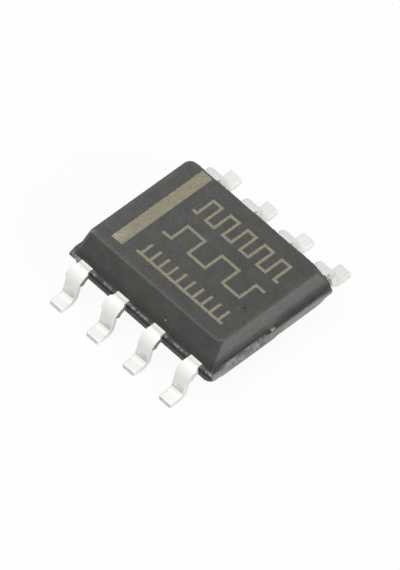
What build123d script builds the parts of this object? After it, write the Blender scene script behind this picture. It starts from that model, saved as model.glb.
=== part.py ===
from build123d import *
import os
from math import atan2, cos, degrees, hypot, radians, sin, tan

# Eight-lead timer chip in a small-outline package: a drafted resin moulding round a stamped
# copper leadframe, with the die, its attach layer and its bond wires sealed inside.
# Millimetres, +Z up from the seating plane under the feet. +X runs along the two rows of leads,
# with the lead 1 end at -X and leads 1 to 4 on the -Y side. The origin is under the body's centre.

# Moulded body
body_width = 4.00            # across the rows, where each half meets the leadframe
end_margin = 0.485           # from the last lead's centre line to the end of the body
body_top = 1.60              # top face above the seating plane
standoff = 0.15              # underside above the seating plane
end_draft = 10               # degrees, both halves, at the two ends
upper_side_draft = 23        # degrees, upper half, along the rows
lower_side_draft = 12        # degrees, lower half, along the rows
corner_radius = 0.20         # upright corners of both halves
rim_radius = 0.10            # edge round the top face
sole_radius = 0.06           # edge round the underside

# Resin flange left where the two mould halves closed on the leadframe
flange_side_reach = 0.12     # beyond the body along the rows
bar_end_reach = 0.11         # beyond the body at the -X end, beside the bar on its top
gate_end_reach = 0.16        # beyond the body at the +X end, where the gate was
slant_inset = 0.06           # corner trimmed aslant at lead 1, along X
slant_run = 0.26             # the same corner, along Y
corner_cut_along = 0.53      # corner trimmed aslant at lead 5, along X
corner_cut_across = 0.22     # the same corner, along Y
front_right_round = 0.05     # rounds of the other two trimmed corners
back_left_round = 0.20

# Broken-off resin gate along part of the +X flange
gate_depth = 0.10            # how far the break reaches in and down
gate_clearance = 0.05        # from the tie bar to the start of the break
gate_end_gap = 0.12          # from the end of the break to the body's front side

# Mark of the ejector pin in the underside
ejector_diameter = 0.90
ejector_depth = 0.03

# Leadframe
lead_pitch = 1.27
leads_per_row = 4
lead_thickness = 0.17
frame_top = 0.92             # top of the flat leadframe above the seating plane
lead_width = 0.40

# Formed gull-wing lead outside the body
shoulder_length = 0.45       # from the body's side to the upper knee
leg_lean = 12.5              # degrees from upright
foot_length = 0.386          # from the crease above the foot to the tip
bend_radius = 0.17           # inside of both bends

# Stub of the dam bar that joined the leads before trimming
dam_width = 0.50             # across the lead, stubs included
dam_start = 0.15             # from the body's side to the stub
dam_turn = 60                # degrees that the stub goes round the knee
dam_bevel = 0.045            # slanted corner at the body's side of the stub

# Inner ends of the leads
finger_gap = 0.20            # between the die pad and the leads round it
finger_width = 0.60          # straight inner finger, wider than the lead to lock it in the resin
finger_lock = 0.35           # from the body's side to where a finger changes shape
land_width = 0.42            # inner end of a corner finger
finger_jog = 0.45            # run of a corner finger's slant
land_gap = 0.42              # from the tie bar to the corner fingers' ends

# Die pad with a tie bar to each end of the body
pad_length = 2.20
pad_width = 1.70
pad_downset = 0.20           # pad below the plane of the leads
tie_width = 0.20
tie_flat = 0.10              # flat tie bar next to the pad
tie_ramp = 0.25              # run of the slope up to the leadframe's plane
tie_inset = 0.04             # trimmed end inside the flange's outer face

# Die and the layer that holds it to the pad
die_length = 1.30
die_width = 1.10
die_thickness = 0.25
attach_thickness = 0.025
attach_margin = 0.05         # attach layer seen round the die

# Bond wires
wire_diameter = 0.03         # across the corners of the section
flats_per_wire = 8           # the fine round wire is drawn with flats
ball_diameter = 0.08
ball_height = 0.02
loop_rise = 0.16             # top of the loop above the die
bond_inset = 0.12            # from the die's edge to the bond centres
inner_bond_share = 0.45      # place of the inner bonds along half the die's length
corner_bond_share = 0.40     # place of the corner bonds along half the die's width
loop_flat_share = 0.35       # level part of the loop in its whole run
stitch_inset = 0.16          # from a finger's end to the middle of the stitch

overrun = 0.10               # how far cutting shapes pass the faces that they cut

# Sizes that follow from the ones above
body_length = (leads_per_row - 1) * lead_pitch + 2 * end_margin
half_length = body_length / 2
half_width = body_width / 2
flange_half_width = half_width + flange_side_reach
bar_end_x = half_length + bar_end_reach
gate_end_x = half_length + gate_end_reach
frame_bottom = frame_top - lead_thickness
pad_top = frame_top - pad_downset
pad_bottom = pad_top - lead_thickness
die_bottom = pad_top + attach_thickness
die_top = die_bottom + die_thickness
outer_bend_radius = bend_radius + lead_thickness
bend_turn = 90 - leg_lean
knee_y = half_width + shoulder_length
crease_y = knee_y + frame_bottom * tan(radians(leg_lean))
tip_y = crease_y + foot_length
finger_tip_y = pad_width / 2 + finger_gap
land_tip_y = tie_width / 2 + land_gap
land_inner_x = pad_length / 2 + finger_gap


def rounded_slab(length, width, level):
    """One level of a mould half: a rectangle with rounded corners."""
    return Plane.XY.offset(level) * RectangleRounded(length, width, corner_radius)


def mould_half(joint_level, face_level, side_draft, edge_radius):
    """One half of the moulding, drafted from the leadframe to its flat face."""
    height = abs(face_level - joint_level)
    face_length = body_length - 2 * height * tan(radians(end_draft))
    face_width = body_width - 2 * height * tan(radians(side_draft))
    joint = rounded_slab(body_length, body_width, joint_level)
    face = rounded_slab(face_length, face_width, face_level)
    half = loft([joint, face], ruled=True)
    flat_face = half.faces().sort_by(lambda f: abs(f.center().Z - face_level))[0]
    return fillet(flat_face.edges(), edge_radius)


def flange_ring():
    """The flange in the plane of the leadframe, two corners trimmed aslant and two to a round."""
    plate = make_face(
        Polyline(
            (-bar_end_x, flange_half_width),
            (-bar_end_x, slant_run - flange_half_width),
            (slant_inset - bar_end_x, -flange_half_width),
            (gate_end_x, -flange_half_width),
            (gate_end_x, flange_half_width - corner_cut_across),
            (gate_end_x - corner_cut_along, flange_half_width),
            close=True,
        )
    )
    rounds = (
        (gate_end_x, -flange_half_width, front_right_round),
        (-bar_end_x, flange_half_width, back_left_round),
    )
    for corner_x, corner_y, radius in rounds:
        corner = plate.vertices().sort_by(lambda v: hypot(v.X - corner_x, v.Y - corner_y))[0]
        plate = fillet(corner, radius)
    return extrude(Plane.XY.offset(frame_bottom) * plate, lead_thickness)


def gate_break():
    """The wedge of resin that broke away with the gate, on the -Y part of the +X flange."""
    front = half_width - gate_end_gap
    back = tie_width / 2 + gate_clearance
    section = Plane.XZ * make_face(
        Polyline(
            (gate_end_x - gate_depth, frame_top),
            (gate_end_x + overrun, frame_top + overrun),
            (gate_end_x + overrun, frame_top - gate_depth),
            (gate_end_x, frame_top - gate_depth),
            close=True,
        )
    )
    return Pos(0, -back, 0) * extrude(section, front - back)


def solid_moulding():
    """The whole moulding before the pieces inside it take their room."""
    upper = mould_half(frame_top, body_top, upper_side_draft, rim_radius)
    lower = mould_half(frame_bottom, standoff, lower_side_draft, sole_radius)
    ejector_mark = Pos(0, 0, standoff + ejector_depth / 2) * Cylinder(
        ejector_diameter / 2, ejector_depth
    )
    return upper + lower + flange_ring() - gate_break() - ejector_mark


def gull_wing(width):
    """A front lead outside the body, from the body's side to its tip, bent twice."""
    slant = tan(radians(leg_lean))
    wall_run = hypot(lead_thickness, lead_thickness * slant)
    lower_knee_y = knee_y + lead_thickness * slant - wall_run
    heel_y = knee_y + frame_top * slant - wall_run
    profile = make_face(
        Polyline(
            (-half_width, frame_top),
            (-knee_y, frame_top),
            (-crease_y, lead_thickness),
            (-tip_y, lead_thickness),
            (-tip_y, 0),
            (-heel_y, 0),
            (-lower_knee_y, frame_bottom),
            (-half_width, frame_bottom),
            close=True,
        )
    )
    bends = (
        (knee_y, frame_top, outer_bend_radius),
        (lower_knee_y, frame_bottom, bend_radius),
        (crease_y, lead_thickness, bend_radius),
        (heel_y, 0, outer_bend_radius),
    )
    for bend_y, bend_z, radius in bends:
        corner = profile.vertices().sort_by(lambda v: hypot(v.X + bend_y, v.Y - bend_z))[0]
        profile = fillet(corner, radius)
    return extrude(Plane.YZ * profile, width / 2, both=True)


def dam_stub():
    """The wider stretch of lead where the dam bar was cut, from the shoulder part way round the knee."""
    bend_y = knee_y - outer_bend_radius * tan(radians(bend_turn / 2))
    bend_z = frame_top - outer_bend_radius
    reach = 2 * outer_bend_radius
    sector = make_face(
        Polyline(
            (-half_width, bend_z),
            (-bend_y, bend_z),
            (-bend_y - reach * sin(radians(dam_turn)), bend_z + reach * cos(radians(dam_turn))),
            (-half_width, bend_z + reach),
            close=True,
        )
    )
    neck = Pos(-half_width - dam_start / 2, frame_top) * Rectangle(dam_start, 2 * reach)
    stub = gull_wing(dam_width) & extrude(Plane.YZ * (sector - neck), dam_width, both=True)
    body_side_edges = stub.edges().filter_by(Axis.Z).group_by(Axis.Y)[-1]
    return chamfer(body_side_edges, dam_bevel)


def straight_finger():
    """Inner end of a lead that faces the pad, in plan about the lead's own centre line."""
    lock_y = half_width - finger_lock
    neck = lead_width / 2
    wide = finger_width / 2
    return make_face(
        Polyline(
            (-neck, -half_width),
            (neck, -half_width),
            (neck, -lock_y),
            (wide, -lock_y),
            (wide, -finger_tip_y),
            (-wide, -finger_tip_y),
            (-wide, -lock_y),
            (-neck, -lock_y),
            close=True,
        )
    )


def corner_finger(lead_x):
    """Inner end of an end lead, in plan: it slants in to lie beside the end of the pad."""
    inward = -1 if lead_x > 0 else 1
    bend_y = half_width - finger_lock
    land_y = bend_y - finger_jog
    near = abs(lead_x) - land_inner_x
    far = near - land_width
    neck = lead_width / 2
    return make_face(
        Polyline(
            (-inward * neck, -half_width),
            (-inward * neck, -bend_y),
            (inward * far, -land_y),
            (inward * far, -land_tip_y),
            (inward * near, -land_tip_y),
            (inward * near, -land_y),
            (inward * neck, -bend_y),
            (inward * neck, -half_width),
            close=True,
        )
    )


def front_lead(lead_x, at_end):
    """One stamped and formed lead of the front row: finger, shoulder, stub, leg and foot."""
    plan = corner_finger(lead_x) if at_end else straight_finger()
    finger = extrude(Plane.XY.offset(frame_bottom) * plan, lead_thickness)
    return Pos(lead_x, 0, 0) * (finger + gull_wing(lead_width) + dam_stub())


def tie_bar(end_x):
    """One bar that held the pad to the leadframe's rail: level, up a ramp, and level to its cut end."""
    ramp_start = pad_length / 2 + tie_flat
    ramp_end = ramp_start + tie_ramp
    section = make_face(
        Polyline(
            (0, pad_bottom),
            (ramp_start, pad_bottom),
            (ramp_end, frame_bottom),
            (end_x, frame_bottom),
            (end_x, frame_top),
            (ramp_end, frame_top),
            (ramp_start, pad_top),
            (0, pad_top),
            close=True,
        )
    )
    return extrude(Plane.XZ * section, tie_width / 2, both=True)


def die_pad_with_tie_bars():
    """The down-set pad with a tie bar to each end of the body."""
    pad = Pos(0, 0, pad_bottom + lead_thickness / 2) * Box(pad_length, pad_width, lead_thickness)
    bar_side = Rot(0, 0, 180) * tie_bar(bar_end_x - tie_inset)
    return pad + tie_bar(gate_end_x - tie_inset) + bar_side


def attach_layer():
    """The adhesive between the pad and the die."""
    return Pos(0, 0, pad_top + attach_thickness / 2) * Box(
        die_length + 2 * attach_margin, die_width + 2 * attach_margin, attach_thickness
    )


def die():
    """The silicon die."""
    return Pos(0, 0, die_bottom + die_thickness / 2) * Box(die_length, die_width, die_thickness)


def front_bond_wire(lead_x, at_end):
    """One bond wire: ball on the die, neck, level loop, and a slope to its stitch on the lead."""
    x_side = 1 if lead_x > 0 else -1
    if at_end:
        start = Vector(
            x_side * (die_length / 2 - bond_inset),
            -corner_bond_share * die_width / 2,
            die_top,
        )
        stitch = Vector(
            x_side * (land_inner_x + land_width / 2),
            -land_tip_y - stitch_inset,
            frame_top,
        )
    else:
        start = Vector(
            x_side * inner_bond_share * die_length / 2,
            bond_inset - die_width / 2,
            die_top,
        )
        stitch = Vector(lead_x, -finger_tip_y - stitch_inset, frame_top)
    run = hypot(stitch.X - start.X, stitch.Y - start.Y)
    heading = degrees(atan2(stitch.Y - start.Y, stitch.X - start.X))
    loop_top = die_top + loop_rise
    slope_run = run * (1 - loop_flat_share)
    slope = (loop_top - frame_top) / slope_run
    path = Polyline(
        (0, 0, die_top),
        (0, 0, loop_top),
        (run - slope_run, 0, loop_top),
        (run + overrun, 0, frame_top - overrun * slope),
    )
    section = Plane.XY.offset(die_top) * RegularPolygon(wire_diameter / 2, flats_per_wire)
    wire = sweep(section, path, transition=Transition.RIGHT)
    ball = Pos(0, 0, die_top + ball_height / 2) * Cylinder(ball_diameter / 2, ball_height)
    above_lead = Pos(run / 2, 0, frame_top + loop_top / 2) * Box(
        2 * (run + overrun), 2 * ball_diameter, loop_top
    )
    return Pos(start.X, start.Y, 0) * Rot(0, 0, heading) * ((wire + ball) & above_lead)


pieces = {
    "die_pad": die_pad_with_tie_bars(),
    "die_attach": attach_layer(),
    "timer_die": die(),
}
half_turn = Rot(0, 0, 180)
for place in range(leads_per_row):
    lead_x = (place - (leads_per_row - 1) / 2) * lead_pitch
    at_end = place in (0, leads_per_row - 1)
    lead = front_lead(lead_x, at_end)
    wire = front_bond_wire(lead_x, at_end)
    front_number = place + 1
    back_number = front_number + leads_per_row
    pieces[f"lead_{front_number}"] = lead
    pieces[f"lead_{back_number}"] = half_turn * lead
    pieces[f"bond_wire_{front_number}"] = wire
    pieces[f"bond_wire_{back_number}"] = half_turn * wire

# The resin fills everything round the pieces that it was moulded over.
pieces["moulded_body"] = solid_moulding() - list(pieces.values())

os.makedirs("parts", exist_ok=True)
for name, piece in pieces.items():
    piece.label = name
    export_step(piece, f"parts/{name}.step")
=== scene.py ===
import math
from types import SimpleNamespace

import bpy
import numpy as np
from bpy.props import FloatProperty, FloatVectorProperty, PointerProperty
from mathutils import Matrix, Vector


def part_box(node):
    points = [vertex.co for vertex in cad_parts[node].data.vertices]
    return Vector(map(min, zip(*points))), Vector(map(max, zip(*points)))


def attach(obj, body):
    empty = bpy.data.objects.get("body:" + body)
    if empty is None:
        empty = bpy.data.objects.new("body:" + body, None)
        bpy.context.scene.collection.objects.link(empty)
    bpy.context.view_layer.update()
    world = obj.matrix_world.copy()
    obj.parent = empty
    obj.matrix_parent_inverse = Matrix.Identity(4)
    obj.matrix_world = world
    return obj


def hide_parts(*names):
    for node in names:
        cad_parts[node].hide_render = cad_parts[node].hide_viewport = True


bl_info = {
    "name": "Timer chip",
    "version": (1, 0, 0),
    "blender": (4, 5, 0),
    "location": "3D View > Sidebar > Timer chip",
    "description": "Dresses the timer chip: resin moulding, tinned leads, sealed inner pieces and stage",
    "category": "Object",
}

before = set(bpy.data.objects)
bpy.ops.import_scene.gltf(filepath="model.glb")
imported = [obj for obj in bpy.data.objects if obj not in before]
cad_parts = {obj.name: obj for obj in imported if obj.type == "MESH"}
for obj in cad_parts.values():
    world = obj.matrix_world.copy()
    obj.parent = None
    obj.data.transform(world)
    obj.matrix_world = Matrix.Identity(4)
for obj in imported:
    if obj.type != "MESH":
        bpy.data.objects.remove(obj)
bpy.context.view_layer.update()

MM = 0.001
LEADS = 8
ROW = LEADS // 2
BODY_LOW, BODY_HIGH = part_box("moulded_body")
LEAD_LOW, LEAD_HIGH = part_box("lead_2")
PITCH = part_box("lead_3")[0].x - LEAD_LOW.x
FRAME_TOP = LEAD_HIGH.z
LEAD_PLACES = (np.arange(ROW) - (ROW - 1) / 2) * PITCH
SHARP_EDGE = math.radians(38)


def length_setting(name, description, default):
    """A length in metres that the sidebar shows in the scene's unit."""
    return FloatProperty(name=name, description=description, default=default, unit="LENGTH", precision=6)


def angle_setting(name, description, degrees):
    """An angle, given in degrees and kept in radians."""
    return FloatProperty(name=name, description=description, default=math.radians(degrees), subtype="ANGLE")


def share_setting(name, description, default):
    """A share from nought to one."""
    return FloatProperty(name=name, description=description, default=default, min=0, max=1, subtype="FACTOR")


def power_setting(name, description, default):
    """The power of a lamp in watts."""
    return FloatProperty(name=name, description=description, default=default, unit="POWER")


def colour_setting(name, description, default):
    """An opaque linear colour."""
    return FloatVectorProperty(
        name=name, description=description, default=(*default, 1), size=4, min=0, max=1, subtype="COLOR"
    )


class MouldingSettings(bpy.types.PropertyGroup):
    """Sizes and colours of the resin moulding."""

    body_length: length_setting("Body length", "Along the rows, where the halves meet", 4.78 * MM)
    body_width: length_setting("Body width", "Across the rows, where the halves meet", 4.00 * MM)
    end_draft: angle_setting("End draft", "Slope of both halves at the two ends", 10)
    upper_draft: angle_setting("Upper side draft", "Mean slope of the upper half along the rows", 26.5)
    top_shift: length_setting("Top shift", "How far the top face sits towards the back row", 0.05 * MM)
    lower_draft: angle_setting("Lower side draft", "Slope of the lower half along the rows", 12)
    corner_radius: length_setting("Corner radius", "Upright corners at the top and the underside", 0.22 * MM)
    bar_corner_radius: length_setting("Bar corner radius", "Nearly sharp upright corner by lead 1", 0.08 * MM)
    joint_radius: length_setting("Joint radius", "Upright corners where the halves meet", 0.06 * MM)
    rim_radius: length_setting("Rim radius", "Edge round the top face", 0.08 * MM)
    sole_radius: length_setting("Sole radius", "Edge round the underside", 0.06 * MM)
    slant_inset: length_setting("Slant inset", "How far the flange's slanted corner is cut in", 0.06 * MM)
    slant_run: length_setting("Slant run", "Length of the slanted cut along the bar end", 0.26 * MM)
    cut_along: length_setting("Cut along", "Cut at the flange's back gate corner, along X", 0.53 * MM)
    cut_across: length_setting("Cut across", "Cut at the flange's back gate corner, along Y", 0.22 * MM)
    front_left_round: length_setting("Front left round", "Corner of the trimmed flange", 0.03 * MM)
    right_round: length_setting("Right round", "Corners of the flange at the gate end", 0.05 * MM)
    back_left_round: length_setting("Back left round", "Corner of the trimmed flange", 0.20 * MM)
    gate_near: length_setting("Gate near", "End of the broken gate beside the tie bar", 0.26 * MM)
    gate_far: length_setting("Gate far", "End of the broken gate near the corner", 1.90 * MM)
    gate_rough: length_setting("Gate roughness", "Height of the facets in the broken gate", 0.015 * MM)
    chip_depth: length_setting("Chip depth", "Chips along the top edge of the flange", 0.010 * MM)
    ledge_sink: length_setting("Ledge sink", "Dip of the flange beside the joint", 0.001 * MM)
    tie_window: length_setting("Tie window", "Half the gap in the resin over each tie bar", 0.065 * MM)
    face_sag: length_setting("Face sag", "How far the flange's lower edge hangs at the gate end", 0.11 * MM)
    flash_share: share_setting("Flash", "Share of the flange's thickness lost at its two thin corners", 0.88)
    ejector_radius: length_setting("Ejector radius", "Round mark in the underside", 0.45 * MM)
    ejector_depth: length_setting("Ejector depth", "Depth of the round mark", 0.03 * MM)
    # Painted highlight along the front rim.
    rim_highlight: share_setting("Rim wear", "Rubbing of the rim along the front row", 0.22)
    # Painted highlight along the rim at the bar end.
    bar_rim_highlight: share_setting("Bar end wear", "Rubbing of the rim at the bar end", 0.45)
    # Painted highlight on the upright corner by lead 1.
    corner_highlight: share_setting("Corner wear", "Rubbing of the upright corner by lead 1", 0.38)
    # Painted light: the top face lighter towards the bar end.
    top_light_gradient: share_setting("Top bloom", "Paler film on the top face towards the bar end", 0.08)
    # Painted light on the flank of the gate end, more towards the rim.
    end_flank_light: share_setting("End bloom", "Paler film on the flank of the gate end", 0.165)
    # Painted shade at the foot of the upper flanks.
    base_shade: share_setting("Base dark", "Darker resin at the foot of the upper flanks", 0.40)
    resin: colour_setting("Resin", "Black moulding compound", (0.050, 0.051, 0.047))
    filler: colour_setting("Filler", "Pale grains of filler in the resin", (0.088, 0.089, 0.082))
    # Also the colour of painted light and painted highlights.
    pale_resin_and_light: colour_setting("Pale resin", "Grey of trimmed, broken or rubbed resin", (0.36, 0.36, 0.36))
    # Colour of painted shade in angles, pits, the pore and at the feet of the flanks.
    painted_shade_resin: colour_setting("Dark resin", "Darkest resin, in pits and angles", (0.015, 0.015, 0.015))
    speck: colour_setting("Speck", "Grains stuck to the flank and the top", (0.30, 0.30, 0.29))


class MarkingSettings(bpy.types.PropertyGroup):
    """Sizes and colour of the plain laser marks on the top face."""

    bar_start: length_setting("Bar start", "Near edge of the lead 1 bar along X", -1.785 * MM)
    bar_end: length_setting("Bar end", "Far edge of the lead 1 bar along X", -1.43 * MM)
    bar_front: length_setting("Bar front", "Front end of the lead 1 bar along Y", -1.36 * MM)
    bar_back: length_setting("Bar back", "Back end of the lead 1 bar along Y", 1.66 * MM)
    stroke: length_setting("Stroke", "Width of the laser stroke", 0.075 * MM)
    row_start: length_setting("Row start", "Where the three rows start along X", -1.08 * MM)
    row_end: length_setting("Row end", "Where the three rows end along X", 1.89 * MM)
    beat: length_setting("Beat", "Half a period of the quick pulse row", 0.297 * MM)
    quick_low: length_setting("Quick row", "Low level of the quick pulse row along Y", 0.66 * MM)
    slow_low: length_setting("Slow row", "Low level of the slow pulse row along Y", -0.34 * MM)
    tick_low: length_setting("Tick row", "Line of the tick row along Y", -1.20 * MM)
    pulse_rise: length_setting("Pulse rise", "From the low level of a pulse to its high one", 0.56 * MM)
    tick_rise: length_setting("Tick rise", "Length of each tick", 0.36 * MM)
    laser_tan: colour_setting("Laser tan", "Resin bleached by the laser", (0.31, 0.295, 0.20))
    laser_pink: colour_setting("Laser pink", "Warmer patches of bleached resin", (0.315, 0.275, 0.21))
    laser_bright: colour_setting("Laser bright", "Bleach at the front end of the bar", (0.42, 0.39, 0.275))


class LeadSettings(bpy.types.PropertyGroup):
    """Sizes and colours of the formed leads."""

    thickness: length_setting("Thickness", "Leadframe strip", 0.17 * MM)
    width: length_setting("Width", "Neck, leg and foot", 0.40 * MM)
    shoulder: length_setting("Shoulder", "From the body's side to the upper knee", 0.45 * MM)
    lean: angle_setting("Lean", "Leg from upright", 12.5)
    bend_radius: length_setting("Bend radius", "Inside of the upper knee", 0.27 * MM)
    heel_radius: length_setting("Heel radius", "Inside of the lower bend", 0.095 * MM)
    edge_radius: length_setting("Edge radius", "Rolled edge left by the punch", 0.022 * MM)
    dam_width: length_setting("Dam width", "Across the lead, dam bar stubs included", 0.50 * MM)
    dam_start: length_setting("Dam start", "From the body's side to the stub", 0.15 * MM)
    dam_bevel: length_setting("Dam bevel", "Slanted corner at the body's side of the stub", 0.045 * MM)
    dam_turn: angle_setting("Dam turn", "How far the stub runs round the upper knee", 65)
    neck_line: length_setting("Neck line", "From the body's side to the line across the neck", 0.095 * MM)
    neck_depth: length_setting("Neck line depth", "Depth of that line", 0.006 * MM)
    crease_depth: length_setting("Crease depth", "Depth of the forming line across the leg", 0.012 * MM)
    crease_turn: angle_setting("Crease turn", "Sharp first part of the lower bend", 35)
    crease_radius: length_setting("Crease radius", "Bend of that first part", 0.11 * MM)
    line_width: length_setting("Line width", "Width of the pressed lines", 0.022 * MM)
    tip_radius: length_setting("Tip radius", "Edge round the cut tip", 0.028 * MM)
    back_draw: length_setting("Back draw", "How much nearer the body the back row's knees are", 0.045 * MM)
    back_reach: length_setting("Back reach", "How much further out the back row's tips are", 0.035 * MM)
    cut_edge_share: share_setting("Cut edge", "Share of the rolled edge left on the cut stub", 0.35)
    finger_width: length_setting("Finger width", "Straight inner finger", 0.60 * MM)
    finger_lock: length_setting("Finger lock", "Body's side to where a finger changes shape", 0.35 * MM)
    finger_jog: length_setting("Finger jog", "Run of a corner finger's slant", 0.45 * MM)
    land_width: length_setting("Land width", "Inner end of a corner finger", 0.42 * MM)
    tin: colour_setting("Tin", "Matt tin plating", (0.85, 0.85, 0.828))
    # Also the colour of painted shade on the back row, the leads' sides and the pressed lines.
    tin_film_and_shade: colour_setting("Tin film", "Grey-brown film on legs and cut sides", (0.13, 0.122, 0.075))
    bare_cut: colour_setting("Bare cut", "Copper alloy bared by the trimming", (0.42, 0.25, 0.17))


class InnerSettings(bpy.types.PropertyGroup):
    """Colours of the pieces sealed in the resin."""

    copper: colour_setting("Copper", "Stamped copper alloy", (0.95, 0.80, 0.68))
    # Also the colour of painted shade where the tie bars leave the resin.
    copper_film_and_shade: colour_setting("Copper film", "Brown film on the copper", (0.20, 0.11, 0.075))
    paste: colour_setting("Attach paste", "Silver flakes of the adhesive", (0.55, 0.55, 0.53))
    paste_base: colour_setting("Paste base", "Adhesive between the flakes", (0.33, 0.33, 0.32))
    silicon: colour_setting("Silicon", "Passivated top of the die", (0.16, 0.17, 0.21))
    circuit: colour_setting("Circuit", "Metal tracks on the die", (0.50, 0.50, 0.46))
    gold: colour_setting("Gold", "Bond wire", (0.90, 0.66, 0.26))
    gold_film: colour_setting("Gold film", "Slightly dull gold", (0.78, 0.55, 0.20))


class StageSettings(bpy.types.PropertyGroup):
    """Camera, floor and light."""

    azimuth: angle_setting("Azimuth", "Camera's turn about the chip", 42.376)
    elevation: angle_setting("Elevation", "Camera above the horizon", 52.248)
    roll: angle_setting("Roll", "Camera's turn about its own line of sight", 5.098)
    distance: length_setting("Distance", "From the camera to the chip", 300 * MM)
    lens: FloatProperty(name="Lens", description="Focal length in millimetres", default=788.3)
    slide_right: length_setting("Slide right", "Camera's slide in its own plane", -0.048 * MM)
    slide_up: length_setting("Slide up", "Camera's slide in its own plane", -0.340 * MM)
    floor_side: length_setting("Floor side", "Square of pale floor", 600 * MM)
    floor: colour_setting("Floor", "Pale floor", (0.78, 0.78, 0.78))
    floor_worn: colour_setting("Floor mottle", "Slight mottling of the floor", (0.75, 0.75, 0.75))
    floor_glow: share_setting("Floor glow", "Share of the floor that shows as plain white", 0.94)
    room_light: FloatProperty(name="Room light", description="Strength of the even light", default=0.50)
    lamp_side: length_setting("Lamp side", "Square of each soft lamp", 160 * MM)
    lamp_distance: length_setting("Lamp distance", "From each lamp to the chip", 260 * MM)
    end_azimuth: angle_setting("End lamp azimuth", "Turn of the lamp on the gate end", 95)
    end_elevation: angle_setting("End lamp elevation", "Height of the lamp on the gate end", 22)
    end_power: power_setting("End lamp", "Lamp on the gate end", 0.43)
    high_azimuth: angle_setting("High lamp azimuth", "Turn of the lamp overhead", -40)
    high_elevation: angle_setting("High lamp elevation", "Height of the lamp overhead", 75)
    high_power: power_setting("High lamp", "Lamp overhead", 0.28)


def place_node(tree, kind, inputs=None, **settings):
    """Adds one shader node, and fills each named input with a value or a link."""
    node = tree.nodes.new(kind)
    for name, value in settings.items():
        setattr(node, name, value)
    for name, value in (inputs or {}).items():
        if isinstance(value, bpy.types.NodeSocket):
            tree.links.new(value, node.inputs[name])
        else:
            node.inputs[name].default_value = value
    return node


def maths(tree, operation, *values):
    """The result of one Math node on sockets or numbers."""
    return place_node(tree, "ShaderNodeMath", dict(enumerate(values)), operation=operation).outputs[0]


def product(tree, *values):
    """Several masks or numbers multiplied together."""
    result = values[0]
    for value in values[1:]:
        result = maths(tree, "MULTIPLY", result, value)
    return result


def band(tree, value, low, high, soft):
    """A mask that is one between low and high, with soft edges."""
    middle = (low + high) / 2
    half = (high - low) / 2
    away = maths(tree, "ABSOLUTE", maths(tree, "SUBTRACT", value, middle))
    return ramp(tree, away, half + soft, half - soft)


def ramp(tree, value, low, high):
    """A mask that climbs from nought at low to one at high."""
    climb = {"Value": value, "From Min": low, "From Max": high}
    return place_node(tree, "ShaderNodeMapRange", climb, interpolation_type="SMOOTHSTEP").outputs["Result"]


def vary(tree, value, low, high):
    """A mask from nought to one stretched between two plain numbers."""
    span = {"Value": value, "To Min": low, "To Max": high}
    return place_node(tree, "ShaderNodeMapRange", span).outputs["Result"]


def spot(tree, where, place, radius):
    """A mask that is one near a place and nought past the radius."""
    ends = {0: where, 1: place}
    away = place_node(tree, "ShaderNodeVectorMath", ends, operation="DISTANCE").outputs["Value"]
    return ramp(tree, away, radius, radius / 2)


def blend_colours(tree, factor, first, second):
    """A colour that goes from first to second with the factor. A Mix node takes colours at inputs 6 and 7."""
    return place_node(tree, "ShaderNodeMix", {0: factor, 6: first, 7: second}, data_type="RGBA").outputs[2]


def read_mask(tree, name):
    """The mask that the piece's own points carry under a name."""
    return place_node(tree, "ShaderNodeAttribute", attribute_name=name).outputs["Fac"]


def grain_group():
    """Shared grain: even noise at one scale, sparse flecks at that scale, and mottling ten times wider."""
    mottle_share = 0.1
    fine_look = {"Detail": 3, "Roughness": 0.6}
    wide_look = {"Detail": 4}
    grain_shares = (0.3, 0.7)
    fleck_shares = (0.32, 0.12)
    mottle_shares = (0.25, 0.75)
    known = bpy.data.node_groups.get("grain")
    if known:
        return known
    group = bpy.data.node_groups.new("grain", "ShaderNodeTree")
    group.interface.new_socket("Coordinates", in_out="INPUT", socket_type="NodeSocketVector")
    group.interface.new_socket("Scale", in_out="INPUT", socket_type="NodeSocketFloat")
    for name in ("Grain", "Flecks", "Mottle"):
        group.interface.new_socket(name, in_out="OUTPUT", socket_type="NodeSocketFloat")
    inlet = place_node(group, "NodeGroupInput").outputs
    where = {"Vector": inlet["Coordinates"], "Scale": inlet["Scale"]}
    fine = place_node(group, "ShaderNodeTexNoise", {**where, **fine_look})
    cells = place_node(group, "ShaderNodeTexVoronoi", {**where, "Randomness": 1})
    where["Scale"] = product(group, inlet["Scale"], mottle_share)
    wide = place_node(group, "ShaderNodeTexNoise", {**where, **wide_look})
    masks = {
        "Grain": ramp(group, fine.outputs[0], *grain_shares),
        "Flecks": ramp(group, cells.outputs["Distance"], *fleck_shares),
        "Mottle": ramp(group, wide.outputs[0], *mottle_shares),
    }
    place_node(group, "NodeGroupOutput", masks)
    return group


def new_material(name):
    """An empty node material with its Principled shader, its Object coordinates and their separate axes."""
    material = bpy.data.materials.new(name)
    material.use_nodes = True
    tree = material.node_tree
    shader = tree.nodes["Principled BSDF"]
    where = place_node(tree, "ShaderNodeTexCoord").outputs["Object"]
    axes = place_node(tree, "ShaderNodeSeparateXYZ", {"Vector": where}).outputs
    return material, tree, shader, where, axes


def use_grain(tree, where, scale):
    """The grain group placed in one material at its own scale."""
    place = {"Coordinates": where, "Scale": scale}
    return place_node(tree, "ShaderNodeGroup", place, node_tree=grain_group()).outputs


def finish_surface(tree, shader, colour, roughness, height, relief):
    """Links a colour, a roughness and a relief height to the shader."""
    tree.links.new(colour, shader.inputs["Base Color"])
    tree.links.new(roughness, shader.inputs["Roughness"])
    bump = place_node(tree, "ShaderNodeBump", {"Height": height, "Distance": relief, "Strength": 1})
    tree.links.new(bump.outputs["Normal"], shader.inputs["Normal"])


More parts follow.
